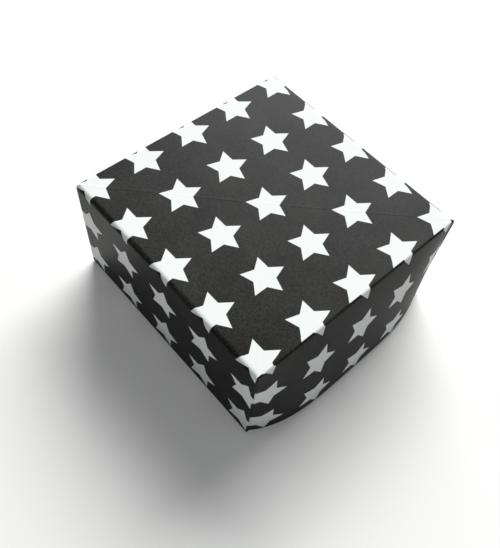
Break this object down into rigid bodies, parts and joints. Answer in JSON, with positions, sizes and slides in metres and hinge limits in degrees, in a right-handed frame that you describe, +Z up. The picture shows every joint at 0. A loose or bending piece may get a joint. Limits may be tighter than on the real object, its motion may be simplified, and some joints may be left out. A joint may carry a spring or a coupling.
{
  "type": "origami box with lift-off lid",
  "caption": "Square paper box folded in the masu way, with a matching lid that lifts straight off; the star pattern print shows outside and inside.",
  "frame": {"origin": "middle of the square box, on the surface that it stands on", "axes": "+Z up out of the closed lid; +X and -X through the two-layer side walls, +Y and -Y through the end walls that hold the folded corner paper"},
  "size_m": [0.0587, 0.053, 0.0265],
  "materials": {
    "lid_paper": "matt black print with pale stars on the side that shows, bare white on the side that is folded in",
    "base_paper": "matt black print with pale stars on the side that shows, bare white on the side that is folded in"
  },
  "bodies": {
    "base": {"base": "base_paper"},
    "lid": {"lid": "lid_paper"}
  },
  "joints": [
    {"name": "lid_lift", "type": "slide", "parent": "base", "child": "lid", "axis": [0, 0, 1], "range_m": [0, 0.05]}
  ]
}
